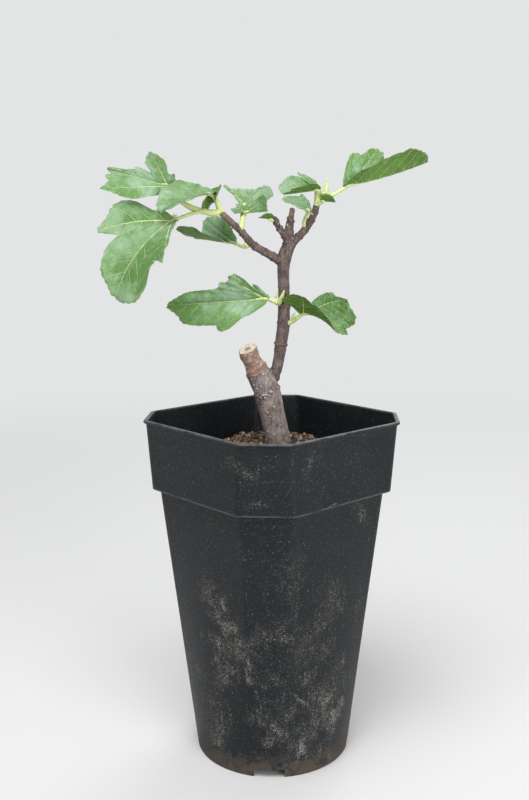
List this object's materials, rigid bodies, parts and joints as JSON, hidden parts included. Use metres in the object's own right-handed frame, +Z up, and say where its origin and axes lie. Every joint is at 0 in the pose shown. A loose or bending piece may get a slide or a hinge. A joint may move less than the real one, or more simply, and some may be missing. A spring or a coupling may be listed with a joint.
{
  "type": "fig tree in a pot",
  "caption": "Young potted fig tree grown from a cutting, with lobed leaves on a forked shoot, in a tall tapered nursery pot with a chamfered square collar, filled with granular soil",
  "frame": {"origin": "on the pot's axis, at the level that its foot ring stands on", "axes": "+Z up, along the pot's axis. +X to the right and +Y away from a viewer who faces the front chamfered corner and its drain notch"},
  "size_m": [0.2208, 0.1774, 0.4306],
  "materials": {
    "pot_plastic": "satin black injection-moulded plastic, dusty, with soil marks and scuffs",
    "soil": "dry granular mix of brown and tan grains",
    "bark": "young fig bark, grey brown, with leaf scars and pale pores",
    "foliage": "soft green leaves with yellow-green veins and stalks"
  },
  "bodies": {
    "root": {"pot": "pot_plastic", "soil": "soil", "trunk": "bark", "main_stem": "bark", "left_bough": "bark", "right_bough": "bark", "short_spur": "bark", "foliage_left_tip": "foliage", "foliage_left_low": "foliage", "foliage_left_crown": "foliage", "foliage_spur": "foliage", "foliage_stem_left": "foliage", "foliage_stem_right": "foliage", "foliage_right_tip": "foliage", "foliage_right_low": "foliage"}
  },
  "joints": []
}
